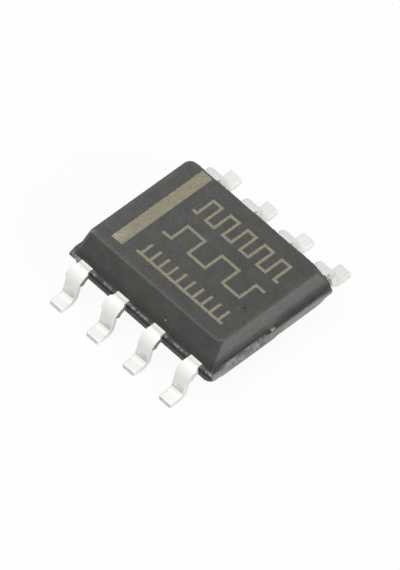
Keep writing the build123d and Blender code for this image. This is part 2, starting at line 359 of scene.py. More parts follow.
def timing_row(tree, x, y, low, rise, beat, stepped, marks, soft):
    """Mask of one row of a timing diagram, from the X and Y on the top face.

    A stepped row is a square pulse: level at its low or high place by the parity of the beat, and upright at
    each edge. A row that isn't stepped is a level line with a tick at each edge.
    """
    half_stroke = marks.stroke / 2
    beats = maths(tree, "DIVIDE", maths(tree, "SUBTRACT", x, marks.row_start - beat / 2), beat)
    from_edge = product(tree, maths(tree, "SUBTRACT", beats, maths(tree, "ROUND", beats)), beat)
    edge = band(tree, from_edge, -half_stroke, half_stroke, soft)
    upright = product(tree, edge, band(tree, y, low - half_stroke, low + rise + half_stroke, soft))
    above = maths(tree, "SUBTRACT", y, low)
    if stepped:
        parity = maths(tree, "FLOORED_MODULO", maths(tree, "FLOOR", beats), 2)
        above = maths(tree, "SUBTRACT", above, product(tree, parity, rise))
    level = band(tree, above, -half_stroke, half_stroke, soft)
    run = band(tree, x, marks.row_start, marks.row_end, soft)
    return product(tree, maths(tree, "MAXIMUM", level, upright), run)


def laser_marks(tree, axes, marks, wobble):
    """Mask of the lead 1 bar and of three plain timing rows, kept to the top face."""
    soft = marks.stroke / 5
    x = maths(tree, "ADD", axes["X"], wobble)
    y = maths(tree, "ADD", axes["Y"], wobble)
    marked = product(
        tree,
        band(tree, x, marks.bar_start, marks.bar_end, soft),
        band(tree, y, marks.bar_front, marks.bar_back, soft),
    )
    rows = (
        (marks.quick_low, marks.pulse_rise, marks.beat, True),
        (marks.slow_low, marks.pulse_rise, 2 * marks.beat, True),
        (marks.tick_low, marks.tick_rise, marks.beat, False),
    )
    for row in rows:
        marked = maths(tree, "MAXIMUM", marked, timing_row(tree, x, y, *row, marks, soft))
    on_top = ramp(tree, axes["Z"], BODY_HIGH.z - marks.stroke, BODY_HIGH.z - soft)
    return product(tree, marked, on_top)


def resin_material(moulding, marks):
    """Matt black moulding compound.

    Filler speckle mixes two blacks. The moulding's own masks make trimmed resin pale, lay painted light and
    painted highlights on it, and lay painted shade in its angles, its pits and at the feet of its flanks. The
    laser bleaches the marks, most at the bar's front end. Four specks are stuck on, and one pore is sunk,
    darkened with painted shade.
    """
    speckle_scale = 26 / MM
    relief = 0.003 * MM
    specks = (
        ((0.683 * MM, -1.877 * MM, 1.136 * MM), 0.030 * MM, 1),
        ((1.775 * MM, -1.738 * MM, 1.378 * MM), 0.014 * MM, 1),
        ((1.801 * MM, -0.571 * MM, BODY_HIGH.z), 0.030 * MM, 0.3),
        ((2.082 * MM, -1.095 * MM, BODY_HIGH.z), 0.030 * MM, 0.3),
    )
    pore_place, pore_radius = (1.890 * MM, -0.452 * MM, BODY_HIGH.z), 0.052 * MM
    grain_share, mottle_share, fleck_share = 0.6, 0.4, 0.25
    pale_shares, mark_shares = (0.65, 1), (0.6, 1)
    pore_shade_share, pore_depth = 0.7, 4
    middle_share, wobble_reach = 0.5, marks.stroke / 4
    roughness_span, mark_roughness = (0.46, 0.58), 0.2
    material, tree, shader, where, axes = new_material("resin")
    shader.inputs["Specular IOR Level"].default_value = 0.12
    grain = use_grain(tree, where, speckle_scale)
    mottle = product(tree, grain["Mottle"], mottle_share)
    speckle = maths(tree, "MULTIPLY_ADD", grain["Grain"], grain_share, mottle)
    base = blend_colours(tree, speckle, moulding.resin, moulding.filler)
    base = blend_colours(tree, product(tree, grain["Flecks"], fleck_share), base, moulding.filler)
    # Pale holds trimmed and broken resin, and painted light and painted highlights.
    pale = product(tree, read_mask(tree, "pale"), vary(tree, grain["Grain"], *pale_shares))
    base = blend_colours(tree, pale, base, moulding.pale_resin_and_light)
    # Painted shade in angles, pits, on the row faces and at the feet of the flanks.
    base = blend_colours(tree, read_mask(tree, "dark"), base, moulding.painted_shade_resin)
    wobble = product(tree, maths(tree, "SUBTRACT", grain["Grain"], middle_share), wobble_reach)
    marked = laser_marks(tree, axes, marks, wobble)
    marked = product(tree, marked, vary(tree, grain["Grain"], *mark_shares))
    bleached = blend_colours(tree, grain["Mottle"], marks.laser_tan, marks.laser_pink)
    to_front = ramp(tree, axes["Y"], marks.bar_front / 2, marks.bar_front)
    to_bar = ramp(tree, axes["X"], marks.bar_end, marks.bar_start)
    bleached = blend_colours(tree, product(tree, to_front, to_bar), bleached, marks.laser_bright)
    base = blend_colours(tree, marked, base, bleached)
    for place, radius, share in specks:
        stuck = product(tree, spot(tree, where, place, radius), share)
        base = blend_colours(tree, stuck, base, moulding.speck)
    # The pore's dark colour is painted shade in a pit made only by bump.
    pore = spot(tree, where, pore_place, pore_radius)
    base = blend_colours(tree, product(tree, pore, pore_shade_share), base, moulding.painted_shade_resin)
    roughness = vary(tree, grain["Mottle"], *roughness_span)
    roughness = maths(tree, "MULTIPLY_ADD", marked, mark_roughness, roughness)
    height = maths(tree, "SUBTRACT", grain["Grain"], product(tree, pore, pore_depth))
    finish_surface(tree, shader, base, roughness, height, relief)
    return material


def tin_material(leads):
    """Matt tin plating: fine grain, with film, painted shade and bare cut alloy by the lead's own masks."""
    grain_scale = 22 / MM
    relief = 0.0012 * MM
    mask_shares = (0.7, 1)
    roughness_span = (0.48, 0.60)
    material, tree, shader, where, _ = new_material("tin_plating")
    shader.inputs["Metallic"].default_value = 0.15
    grain = use_grain(tree, where, grain_scale)
    film = product(tree, read_mask(tree, "film"), vary(tree, grain["Mottle"], *mask_shares))
    base = blend_colours(tree, film, leads.tin, leads.tin_film_and_shade)
    bare = product(tree, read_mask(tree, "bare"), vary(tree, grain["Grain"], *mask_shares))
    base = blend_colours(tree, bare, base, leads.bare_cut)
    finish_surface(tree, shader, base, vary(tree, grain["Grain"], *roughness_span), grain["Grain"], relief)
    return material


def metal_material(name, clean, film, scale, roughness_span, metallic, shade_reaches=None):
    """Bare metal with a patchy film by the slow mottling, and grain in its roughness.

    Where shade reaches are given, the film colour is laid whole as painted shade up to the second one from
    the middle along X, and the film is patchy again past the first.
    """
    relief = 0.001 * MM
    patch_shares = (0.4, 0.9)
    material, tree, shader, where, axes = new_material(name)
    shader.inputs["Metallic"].default_value = metallic
    grain = use_grain(tree, where, scale)
    filmed = ramp(tree, grain["Mottle"], *patch_shares)
    # Painted shade where the tie bars leave the resin.
    if shade_reaches:
        from_middle = maths(tree, "ABSOLUTE", axes["X"])
        filmed = maths(tree, "MAXIMUM", filmed, ramp(tree, from_middle, *shade_reaches))
    base = blend_colours(tree, filmed, clean, film)
    finish_surface(tree, shader, base, vary(tree, grain["Grain"], *roughness_span), grain["Grain"], relief)
    return material


def copper_material(inner):
    """Stamped copper alloy under a patchy brown film, with painted shade where the tie bars leave the resin
    and cleaner at their cut ends.
    """
    grain_scale = 14 / MM
    roughness_span = (0.34, 0.52)
    metallic = 0.1
    shade_reaches = (2.465 * MM, 2.430 * MM)
    colours = (inner.copper, inner.copper_film_and_shade)
    return metal_material("copper", *colours, grain_scale, roughness_span, metallic, shade_reaches)


def gold_material(inner):
    """Drawn gold wire, slightly dull in places."""
    grain_scale = 50 / MM
    roughness_span = (0.16, 0.34)
    return metal_material("bond_gold", inner.gold, inner.gold_film, grain_scale, roughness_span, 1)


def paste_material(inner):
    """Silver-filled adhesive: grey body with bright flakes."""
    flake_scale = 60 / MM
    relief = 0.002 * MM
    roughness_span = (0.4, 0.6)
    material, tree, shader, where, _ = new_material("attach_paste")
    shader.inputs["Metallic"].default_value = 0.4
    grain = use_grain(tree, where, flake_scale)
    base = blend_colours(tree, grain["Flecks"], inner.paste_base, inner.paste)
    finish_surface(tree, shader, base, vary(tree, grain["Grain"], *roughness_span), grain["Flecks"], relief)
    return material


def silicon_material(inner):
    """Polished die: dark passivated top with blocks and rows of metal tracks."""
    grain_scale = 40 / MM
    relief = 0.0008 * MM
    roughness_span = (0.12, 0.2)
    tracks = {"Scale": 9 / MM, "Mortar Size": 0.06, "Brick Width": 0.7, "Row Height": 0.3}
    material, tree, shader, where, _ = new_material("silicon")
    shader.inputs["Metallic"].default_value = 0.3
    lines = place_node(tree, "ShaderNodeTexBrick", {"Vector": where, **tracks}).outputs["Fac"]
    grain = use_grain(tree, where, grain_scale)
    base = blend_colours(tree, lines, inner.silicon, inner.circuit)
    finish_surface(tree, shader, base, vary(tree, grain["Grain"], *roughness_span), lines, relief)
    return material


def soft_noise(rng, rows, columns, row_reach, column_reach):
    """Random values on a grid, blurred by a Gaussian through the Fourier transform, brought to unit spread.

    The transform wraps round, so the noise joins up along a closed row.
    """
    row_fall = np.exp(-2 * (math.pi * row_reach * np.fft.fftfreq(rows)) ** 2)[:, None]
    column_fall = np.exp(-2 * (math.pi * column_reach * np.fft.fftfreq(columns)) ** 2)
    raw = rng.normal(size=(rows, columns))
    smooth = np.fft.ifft2(np.fft.fft2(raw) * row_fall * column_fall).real
    return smooth / smooth.std()


def soft_step(values, low, high):
    """Nought below low, one above high, and a cubic between them."""
    share = np.clip((values - low) / (high - low), 0, 1)
    return share * share * (3 - 2 * share)


def bell(values, middle, width):
    """One at the middle, falling to either side as a Gaussian."""
    return np.exp(-(((values - middle) / width) ** 2))


def tube_faces(rows, columns):
    """Quads between neighbouring rings, and a fan of triangles to a pole at each end. The poles come last."""
    ring = np.arange(columns)
    following = (ring + 1) % columns
    start = np.arange(rows - 1)[:, None] * columns
    corners = (start + ring, start + columns + ring, start + columns + following, start + following)
    quads = np.stack(corners, -1)
    last = (rows - 1) * columns
    first_pole = np.full(columns, rows * columns)
    top = np.stack([first_pole, ring, following], -1)
    bottom = np.stack([first_pole + 1, last + following, last + ring], -1)
    return quads.reshape(-1, 4), np.concatenate([top, bottom])


def put_piece(name, points, faces, material, crease):
    """Puts arrays of points and faces into a mesh object, smooth except at edges sharper than the crease."""
    mesh = bpy.data.meshes.new(name)
    corners = np.concatenate([group.ravel() for group in faces]).astype(np.int32)
    sizes = np.concatenate([np.full(len(group), group.shape[1]) for group in faces])
    starts = (np.cumsum(sizes) - sizes).astype(np.int32)
    mesh.vertices.add(len(points))
    mesh.vertices.foreach_set("co", points.astype(np.float32).ravel())
    mesh.loops.add(len(corners))
    mesh.loops.foreach_set("vertex_index", corners)
    mesh.polygons.add(len(sizes))
    mesh.polygons.foreach_set("loop_start", starts)
    mesh.update(calc_edges=True)
    mesh.validate()
    mesh.shade_smooth()
    mesh.set_sharp_from_angle(angle=crease)
    mesh.materials.append(material)
    piece = bpy.data.objects.new(name, mesh)
    bpy.context.scene.collection.objects.link(piece)
    return piece


def set_mask(piece, name, values):
    """Keeps one number for each point of the piece, for its material to read."""
    mask = piece.data.attributes.new(name, "FLOAT", "POINT")
    mask.data.foreach_set("value", values.astype(np.float32).ravel())


def side_marks(edges, end, spacing, slit):
    """Places along one straight side: even spacing, with a close pair of places at each edge of a gap."""
    stops = np.concatenate([[-end], edges, [end]])
    runs = []
    for low, high in zip(stops[:-1], stops[1:]):
        count = max(2, int(round((high - low) / spacing)))
        runs.append(np.linspace(low + slit, high - slit, count))
    runs[0][0] = -end
    runs[-1][-1] = end
    return np.concatenate(runs)


def rounded_outline(half_length, half_width, radii, row_marks, end_marks, corner_count):
    """Points round a rectangle with its own radius at each corner, counter-clockwise from above.

    Each side holds its marked places, drawn together where the straight side is shorter than they are. Each
    corner is walked at even steps along a straight, a quarter circle and a straight.
    """
    sides = (
        ((1, 0), (0, -1), half_length, half_width, row_marks, end_marks, radii[0], radii[1]),
        ((0, 1), (1, 0), half_width, half_length, end_marks, row_marks, radii[1], radii[2]),
        ((-1, 0), (0, 1), half_length, half_width, row_marks, end_marks, radii[2], radii[3]),
        ((0, -1), (-1, 0), half_width, half_length, end_marks, row_marks, radii[3], radii[0]),
    )
    steps = np.arange(1, corner_count + 1) / (corner_count + 1)
    points = []
    for along, out, reach, offset, marks, next_marks, near, far in sides:
        squeeze = min(1, (reach - max(near, far)) / marks[-1])
        next_squeeze = min(1, (offset - far) / next_marks[-1])
        points.append(np.outer(marks * squeeze, along) + offset * np.array(out))
        lead_in = reach - far - marks[-1] * squeeze
        arc = far * math.pi / 2
        lead_out = offset - far - next_marks[-1] * next_squeeze
        walked = steps * (lead_in + arc + lead_out)
        turn = np.clip((walked - lead_in) / far, 0, math.pi / 2)
        forward = marks[-1] * squeeze + np.minimum(walked, lead_in) + far * np.sin(turn)
        inward = far * (1 - np.cos(turn)) + np.maximum(walked - lead_in - arc, 0)
        points.append(np.outer(forward, along) + np.outer(offset - inward, out))
    return np.concatenate(points)


def drafted_reach(depth, height, joint_reach, draft, radius):
    """Half size of a drafted half at some depths from its flat face, with and without its rounded edge.

    The edge is an arc tangent to the flat face and to the slope; beyond it the slope runs to the joint.
    """
    turn = math.pi / 2 - draft
    face_reach = joint_reach - height * math.tan(draft)
    tangent = radius * math.tan(turn / 2)
    within = np.clip(radius - depth, 0, radius)
    arc = face_reach - tangent + np.sqrt(radius**2 - within**2)
    slope = face_reach + depth * math.tan(draft)
    return np.where(depth < radius * (1 - math.cos(turn)), arc, slope), slope


def half_rings(moulding, height, side_draft, radius, outline):
    """Rings of one drafted half from its flat face to the joint, with the depth of each from the face."""
    edge_count = 9
    flank_count = 10
    turn = math.pi / 2 - moulding.end_draft
    edge_depths = radius * (1 - np.cos(np.linspace(0, turn, edge_count)))
    depths = np.concatenate([edge_depths, np.linspace(edge_depths[-1], height, flank_count + 1)[1:]])
    lengths, slope = drafted_reach(depths, height, moulding.body_length / 2, moulding.end_draft, radius)
    widths, _ = drafted_reach(depths, height, moulding.body_width / 2, side_draft, radius)
    face_radii = np.array([moulding.bar_corner_radius] + [moulding.corner_radius] * 3)
    radii = face_radii + (moulding.joint_radius - face_radii) * (depths / height)[:, None]
    rounds = radii - (slope - lengths)[:, None]
    return np.array([outline(*sizes) for sizes in zip(lengths, widths, rounds)]), depths


def trim_bar_end(outline, moulding, corner_x):
    """The flange's outline drawn in at the bar end, with its front corner cut aslant there."""
    x, y = outline.T
    end_shares = np.clip((-x - corner_x) / (BODY_HIGH.x - corner_x), 0, 1)
    slant_start = BODY_HIGH.y - moulding.slant_run
    slant_shares = np.clip((-y - slant_start) / moulding.slant_run, 0, 1)
    drawn_in = BODY_HIGH.x + BODY_LOW.x + moulding.slant_inset * slant_shares
    return np.stack([x + drawn_in * end_shares, y], -1)


def cut_gate_corner(outline, moulding):
    """The flange's outline with its back corner at the gate end cut off along a straight line."""
    normal = np.array([moulding.cut_across, moulding.cut_along])
    normal = normal / np.hypot(*normal)
    past = outline @ normal - normal @ np.array([BODY_HIGH.x, BODY_HIGH.y - moulding.cut_across])
    return outline - np.outer(np.maximum(past, 0), normal)


def outward_facing(outline):
    """Unit normals of a closed counter-clockwise outline, from the chord between each point's neighbours."""
    chord = np.roll(outline, -1, axis=0) - np.roll(outline, 1, axis=0)
    normal = np.stack([chord[:, 1], -chord[:, 0]])
    return normal / np.hypot(*normal)


def flange_section(row_shares):
    """Reach and drop of the flange's plain section, then of the broken gate, from the upper joint down.

    The plain section is a ledge, a rolled edge, a face and a ledge below. The gate is broken away on a slope.
    """
    stop_shares = (0, 0.40, 0.46, 0.52, 0.58, 0.86, 0.90, 1)
    sections = (
        (0, 0.86, 0.95, 0.99, 1, 1, 0.96, 0),
        (0, 0, 0.03, 0.09, 0.18, 0.92, 1, 1),
        (0, 0.38, 0.60, 0.80, 1, 1, 0.96, 0),
        (0, 0.01, 0.20, 0.40, 0.60, 0.92, 1, 1),
    )
    return [np.interp(row_shares, stop_shares, section_shares)[:, None] for section_shares in sections]


def flange_zones(joint, outer, moulding, half_notch):
    """Masks of the places round the flange, one value for each column.

    They are the two rows, the gate end, the bar end, the broken gate, the covers of the tie bars and the gaps
    in them, the two corners where only a thin web of flash is left, the leads' notches and the smooth
    stretches of the gate end's face. The sag is how far the lower edge hangs there: most under the gate, less
    past the tie bar, with a slight bulge, and fading at the front corner. The distances past one lead and up
    to the next are given too.
    """
    blur = 0.04 * MM
    gate_run = 0.45 * MM
    tie_half = 0.13 * MM
    sag_places = (-0.10 * MM, 0.25 * MM)
    fade_places = (1.65 * MM, 2.02 * MM)
    bulge_middle, bulge_reach = 1.25 * MM, 0.45 * MM
    smooth_back, smooth_front = (0, 0.5 * MM), (1.2 * MM, 1.5 * MM)
    front_web = (2.08 * MM, 2.16 * MM, 1.75 * MM, 1.95 * MM)
    back_web = (2.05 * MM, 2.15 * MM, 1.46 * MM, 1.72 * MM)
    back_web_share = 0.6
    gate_sag_share, past_tie_share, bulge_share, fade_share = 1.1, 0.65, 0.15, 0.65
    end_share, row_share = 0.9, 0.99
    x, y = outer.T
    facing_x, facing_y = outward_facing(outer)
    gate_end = np.clip(facing_x, 0, 1)
    at_end = np.abs(facing_x) > end_share
    gate = soft_step(-y, moulding.gate_near - blur, moulding.gate_near + blur)
    gate = gate * (1 - soft_step(-y, moulding.gate_far - gate_run, moulding.gate_far))
    web = 0
    for side, share, (near_x, far_x, near_y, far_y) in ((-1, 1, front_web), (1, back_web_share, back_web)):
        web = web + share * soft_step(side * x, near_x, far_x) * soft_step(side * y, near_y, far_y)
    from_lead = np.abs(joint[:, :1] - LEAD_PLACES).min(axis=1)
    along_row = np.where(y < 0, x, -x)
    past_lead = (along_row - LEAD_PLACES[0] - half_notch) % PITCH
    sag = gate_sag_share - past_tie_share * soft_step(y, *sag_places)
    sag = sag + bulge_share * bell(y, bulge_middle, bulge_reach) - fade_share * soft_step(-y, *fade_places)
    return SimpleNamespace(
        row=np.abs(facing_y),
        end=np.abs(facing_x),
        gate_end=gate_end,
        bar_end=np.clip(-facing_x, 0, 1),
        gate=gate_end * gate,
        tie=at_end * (1 - soft_step(np.abs(y), tie_half - blur, tie_half)),
        window=at_end * (np.abs(y) < moulding.tie_window),
        web=web,
        sag=gate_end * sag,
        notch=(np.abs(outward_facing(joint)[1]) > row_share) & (from_lead < half_notch),
        past_lead=past_lead,
        before_lead=PITCH - 2 * half_notch - past_lead,
        smooth=soft_step(y, *smooth_back) + soft_step(-y, *smooth_front),
    )


def flange_masks(zones, reach, drop, ledge, in_gate, noises):
    """Pale and dark masks of the flange, each the strongest of several marks.

    Pale are the painted glints along the chipped rows, the smear beside each neck, the trimmed faces with
    painted light on their lower edge at the gate end, the rolled edge of the gate end, the broken gate with a
    painted highlight along its upper edge, and the streaked webs of flash. Dark is painted shade: in the
    inner angle at both ends, in the pits of the break and on the faces along the rows.
    """
    smear = 0.10 * MM
    outer_reach_shares, outer_drop_shares = (0.35, 0.60), (0.08, 0.25)
    face_shares, lit_lower_edge_shares = (0.10, 0.25), (0.80, 0.95)
    rolled_shares, crest_highlight_shares = (0.66, 0.86), (0.42, 0.66)
    angle_shade_shares, pit_shares = (0.75, 0.95), (0.3, 1.2)
    glint_share, coarse_glint_share, fine_glint_share, most_glint_share = 0.28, 0.16, 0.42, 0.9
    neck_share, first_lead_share = 0.4, 0.9
    trim_share, smooth_trim_share, bar_trim_share, lower_light_share = 0.42, 0.22, 0.25, 0.15
    rolled_share, break_share, facet_share, crest_highlight_share = 0.45, 0.36, 0.26, 0.18
    web_share, streak_share, off_gate_share = 0.45, 0.35, 0.3
    angle_shade_share, pit_share, shade_share = 0.04, 0.30, 0.75
    outer_ledge = soft_step(reach, *outer_reach_shares) * (1 - soft_step(drop, *outer_drop_shares))
    face = soft_step(drop, *face_shares)
    # Painted glints along the outer ledge of the rows.
    glints = glint_share + coarse_glint_share * noises.coarse + fine_glint_share * noises.fine
    glints = zones.row * outer_ledge * np.clip(glints, 0, most_glint_share)
    beside_neck = zones.row * ledge * bell(zones.past_lead, 0, smear) * neck_share
    # Painted light on the lower edge of the gate end's face, against the shade there.
    lit_lower_edge = 1 + lower_light_share * soft_step(drop, *lit_lower_edge_shares)
    trimmed = (trim_share + smooth_trim_share * zones.smooth) * zones.gate_end * lit_lower_edge
    trimmed = (trimmed + bar_trim_share * zones.bar_end) * face
    rolled = rolled_share * zones.gate_end * (1 - zones.gate)
    rolled = rolled * soft_step(reach, *rolled_shares) * (1 - zones.web)
    # Painted highlight along the upper edge of the break.
    crest_highlight = 1 - soft_step(reach, *crest_highlight_shares)
    broken = in_gate * (break_share + facet_share * noises.facets + crest_highlight_share * crest_highlight)
    by_first_lead = first_lead_share * bell(zones.before_lead, 0, smear)
    streaked = zones.web * (zones.gate_end < off_gate_share) * ledge
    streaked = streaked * (web_share + by_first_lead + streak_share * noises.streaks)
    pale = np.maximum.reduce([glints, beside_neck, trimmed, rolled, broken, streaked])
    # Painted shade in the inner angle between flank and ledge at both ends.
    angle_shade = zones.end * ledge * (1 - soft_step(reach, *angle_shade_shares)) * (1 - zones.tie) * angle_shade_share
    # Painted shade in the pits of the break.
    pits = in_gate * soft_step(-noises.facets, *pit_shares) * pit_share
    shaded = shade_share * np.clip(zones.row - zones.web, 0, 1) * face
    dark = np.maximum.reduce([angle_shade, pits, shaded])
    return np.clip(pale, 0, 1), np.clip(dark, 0, 1)


def flange_surface(joint, outer, moulding, leads, half_notch):
    """Points, heights, pale and dark masks of the trimmed flange, in rows from the upper joint to the lower.

    Each row goes from the joint's outline towards the outer one by its reach, and down by its drop. At each
    lead the flange is notched. The gate end is broken on a slope with rough facets and its lower edge sags,
    both tie bars have a gap in the resin, the top edge along the rows is chipped, and two corners thin out to
    a web of flash.
    """
    seed = 11
    rows = 26
    tie_cover = 0.003 * MM
    window_depth = 0.05 * MM
    coarse_reaches, fine_reaches, facet_reaches, streak_reaches = (1, 3), (2.5, 0.6), (0.9, 0.75), (1.2, 1.5)
    most_facet = 1.3
    ledge_shares = (0.06, 0.16)
    edge_reach_shares, edge_drop_shares = (0.72, 0.95), (0.15, 0.50)
    break_reach_shares, break_drop_shares = (0.30, 0.42), (0.60, 0.75)
    gap_start_shares, gap_end_shares = (0.01, 0.06), (0.74, 0.82)
    sunk_middle_share, sunk_reach_share = 0.16, 0.18
    coarse_chip_share, spared_chip_share, most_chip = 0.6, 0.3, 2
    rng = np.random.default_rng(seed)
    columns = len(joint)
    row_shares = np.linspace(0, 1, rows)
    reach, drop, gate_reach, gate_drop = flange_section(row_shares)
    zones = flange_zones(joint, outer, moulding, half_notch)
    noises = SimpleNamespace(
        coarse=soft_noise(rng, 1, columns, *coarse_reaches),
        fine=soft_noise(rng, rows, columns, *fine_reaches),
        facets=np.clip(soft_noise(rng, rows, columns, *facet_reaches), -most_facet, most_facet),
        streaks=soft_noise(rng, rows, columns, *streak_reaches),
    )
    width = np.hypot(*(outer - joint).T)
    reach = reach + (gate_reach - reach) * zones.gate
    drop = drop + (gate_drop - drop) * zones.gate
    ledge = 1 - soft_step(drop, *ledge_shares)
    edge = soft_step(reach, *edge_reach_shares) * (1 - soft_step(drop, *edge_drop_shares))
    in_gate = zones.gate * soft_step(reach, *break_reach_shares) * (1 - soft_step(drop, *break_drop_shares))
    pale, dark = flange_masks(zones, reach, drop, ledge, in_gate, noises)

    chips = np.clip(coarse_chip_share * noises.coarse + noises.fine - spared_chip_share, 0, most_chip)
    chips = chips * moulding.chip_depth
    roughness = in_gate * noises.facets * moulding.gate_rough
    reach = np.clip(reach + (roughness - edge * zones.row * chips) / width, 0, 1)
    gap = zones.window * ledge * soft_step(reach, *gap_start_shares) * (1 - soft_step(reach, *gap_end_shares))
    sunk = zones.end * ledge * bell(reach, sunk_middle_share, sunk_reach_share) * (1 - zones.tie)
    z = FRAME_TOP - drop * leads.thickness * (1 - moulding.flash_share * zones.web * reach)
    z = z - moulding.face_sag * zones.sag * drop * reach**3
    z = z + tie_cover * zones.tie * ledge - window_depth * gap - moulding.ledge_sink * sunk + roughness
    reach = np.where(zones.notch, 0, reach)
    z = np.where(zones.notch, FRAME_TOP - row_shares[:, None] * leads.thickness, z)
    points = joint + reach[..., None] * (outer - joint)
    return points, z, np.where(zones.notch, 0, pale), np.where(zones.notch, 0, dark)


def ring_block(points, height, pale, dark):
    """Rings of plan points with each point's height, pale and dark mask, as one array of five columns."""
    shape = points.shape[:2]
    return np.dstack([points] + [np.broadcast_to(layer, shape) for layer in (height, pale, dark)])


def upper_masks(top, depths, height, moulding):
    """Pale and dark masks of the upper half's rings, and the painted light gradient on the outermost ring of
    the top face.

    Pale is painted light: a gradient on the top face, lighter towards the bar end, light on the gate end's
    flank, more towards the rim, and painted highlights on the front and bar end rims and on the upright
    corner by lead 1.
    Dark is painted shade at the feet of the front and gate end flanks, apart from the tie bar's place, and on
    the corner between.
    """
    highlight_reach = 0.07 * MM
    shade_start, shade_end = 0.22 * MM, 0.13 * MM
    rim_shares, bar_rim_shares = np.array([0.35, 0.22]), np.array([0.5, 0.35])
    flank_share, by_tie_windows = 0.3, 3
    front_shade_share, corner_shade_share = 0.7, 0.4
    end_facing_shares = (0.88, 0.99)
    rim_light_share, lost_light_share = 1.30, 0.45
    facing_x, facing_y = np.array([outward_facing(ring) for ring in top]).transpose(1, 0, 2)
    to_gate, to_bar, to_front = (np.clip(facing, 0, 1) for facing in (facing_x, -facing_x, -facing_y))
    x = top[..., 0]
    depths = depths[:, None]
    # Painted highlights on the front and bar end rims and on the upright corner by lead 1.
    rim = bell(depths, *(moulding.rim_radius * rim_shares)) * to_front
    bar_rim = bell(depths, *(moulding.rim_radius * bar_rim_shares)) * to_bar
    corner = bell(x - x.min(axis=1, keepdims=True), 0, highlight_reach) * to_front
    painted_highlights = moulding.rim_highlight * rim + moulding.bar_rim_highlight * bar_rim + moulding.corner_highlight * corner
    flank = soft_step(depths, moulding.rim_radius * flank_share, moulding.rim_radius)
    # Painted shade at the feet of the front and gate end flanks and on the corner between.
    foot = soft_step(depths, height - shade_start, height - shade_end)
    by_tie = bell(top[-1][:, 1], 0, by_tie_windows * moulding.tie_window)
    dark = moulding.base_shade * foot * (to_gate * (1 - by_tie) + front_shade_share * to_front)
    dark = dark + corner_shade_share * to_gate * to_front * flank
    # Painted light: a gradient across the top face, lighter towards the bar end.
    film = moulding.top_light_gradient / 2 - moulding.top_light_gradient * x / moulding.body_length
    # Painted light on the gate end's flank, stronger towards the rim.
    painted_end_light = moulding.end_flank_light * soft_step(facing_x, *end_facing_shares)
    painted_end_light = painted_end_light * (rim_light_share - lost_light_share * depths / height)
    return film * (1 - flank) + painted_end_light * flank + painted_highlights, dark, film[0]


def moulding_points(moulding, leads):
    """The moulding's closed surface as rings from the middle of its top to the middle of its underside."""
    slit = 0.004 * MM
    spacing = 0.03 * MM
    corner_count = 30
    end_reach = 1.70 * MM
    notch_room = 0.002 * MM
    half_notch = leads.width / 2 + notch_room
    top_shares = np.array([0.12, 0.3, 0.5, 0.7, 0.85, 0.95])[:, None, None]
    sole_shares = np.array([0.1, 0.4, 0.7, 0.97, 1])[:, None, None]
    mark_shares = np.array([0.985, 0.96, 0.6, 0.2])[:, None, None]
    notch_edges = np.sort(np.concatenate([LEAD_PLACES - half_notch, LEAD_PLACES + half_notch]))
    corner_x = notch_edges[-1] + 2 * slit
    row_marks = side_marks(notch_edges, corner_x, spacing, slit)
    tie_edges = np.array([-moulding.tie_window, moulding.tie_window])
    end_marks = side_marks(tie_edges, end_reach, spacing, slit)

    def outline(length, width, radii):
        return rounded_outline(length, width, radii, row_marks, end_marks, corner_count)

    upper_height = BODY_HIGH.z - FRAME_TOP
    lower_height = FRAME_TOP - leads.thickness - BODY_LOW.z
    top, top_depths = half_rings(moulding, upper_height, moulding.upper_draft, moulding.rim_radius, outline)
    top[..., 1] += moulding.top_shift * (1 - top_depths[:, None] / upper_height)
    sole, sole_depths = half_rings(
        moulding, lower_height, moulding.lower_draft, moulding.sole_radius, outline
    )
    rounds = (moulding.front_left_round, *[moulding.right_round] * 2, moulding.back_left_round)
    outer = trim_bar_end(outline(BODY_HIGH.x, BODY_HIGH.y, rounds), moulding, corner_x)
    outer = cut_gate_corner(outer, moulding)
    flange = [layer[1:-1] for layer in flange_surface(top[-1], outer, moulding, leads, half_notch)]
    pale, dark, rim_light_gradient = upper_masks(top, top_depths, upper_height, moulding)
    # The top face's painted light gradient, from the middle out to the rim.
    middle_light_gradient = moulding.top_light_gradient / 2
    face_light_gradient = middle_light_gradient + (rim_light_gradient - middle_light_gradient) * top_shares[..., 0]
    bearing = np.arctan2(sole[0][:, 1], sole[0][:, 0])
    circle = np.stack([np.cos(bearing), np.sin(bearing)], -1) * moulding.ejector_radius
    mark_z = BODY_LOW.z + moulding.ejector_depth
    blocks = (
        ring_block(top[0] * top_shares, BODY_HIGH.z, face_light_gradient, 0),
        ring_block(top, BODY_HIGH.z - top_depths[:, None], pale, dark),
        ring_block(*flange),
        ring_block(sole[::-1], BODY_LOW.z + sole_depths[::-1, None], 0, 0),
        ring_block(sole[0] + (circle - sole[0]) * sole_shares, BODY_LOW.z, 0, 0),
        ring_block(circle * mark_shares, mark_z, 0, 0),
    )
    rings = np.concatenate(blocks)
    poles = np.array([[0, 0, BODY_HIGH.z, middle_light_gradient, 0], [0, 0, mark_z, 0, 0]])
    points = np.concatenate([rings.reshape(-1, 5), poles])
    return points[:, :3], tube_faces(*rings.shape[:2]), points[:, 3], points[:, 4]


